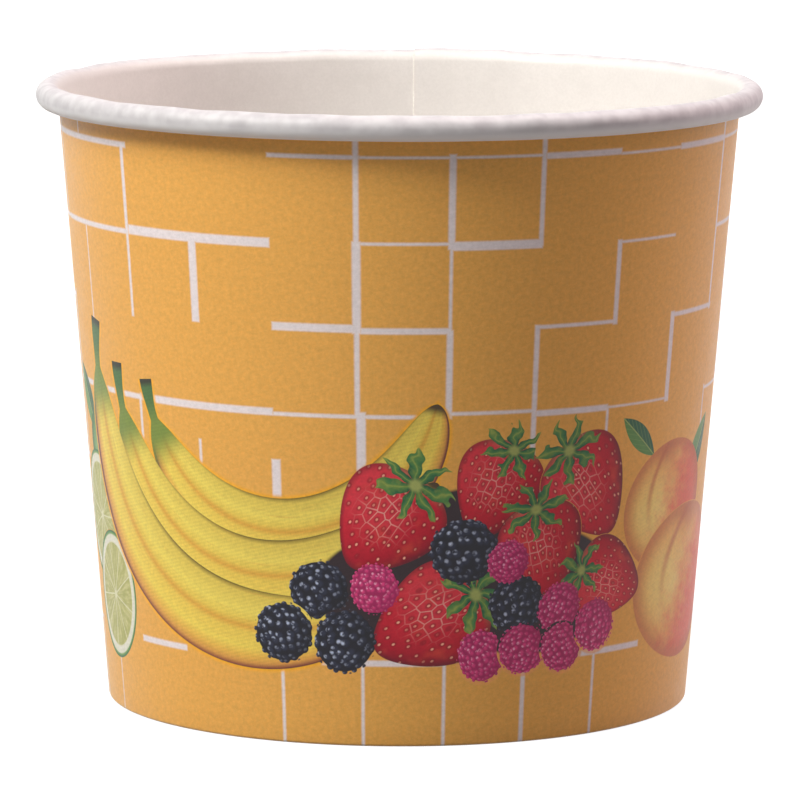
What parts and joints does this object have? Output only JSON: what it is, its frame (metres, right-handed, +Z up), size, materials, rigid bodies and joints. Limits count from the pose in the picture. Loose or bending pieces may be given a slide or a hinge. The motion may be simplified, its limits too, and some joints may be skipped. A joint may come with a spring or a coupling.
{
  "type": "paper dessert cup",
  "caption": "Round tapered paper cup with a rolled brim, a lapped side seam and a raised bottom, for ice cream, fruit or other desserts.",
  "frame": {"origin": "on the table, under the middle of the cup", "axes": "+Z up the cup's axis to its mouth, -Y towards the front of the print, the side seam at the back near +Y"},
  "size_m": [0.096, 0.0961, 0.0821],
  "materials": {
    "printed_board": "satin",
    "plain_board": "satin"
  },
  "bodies": {
    "root": {"side_wall": "printed_board", "bottom_disc": "plain_board"}
  },
  "joints": []
}
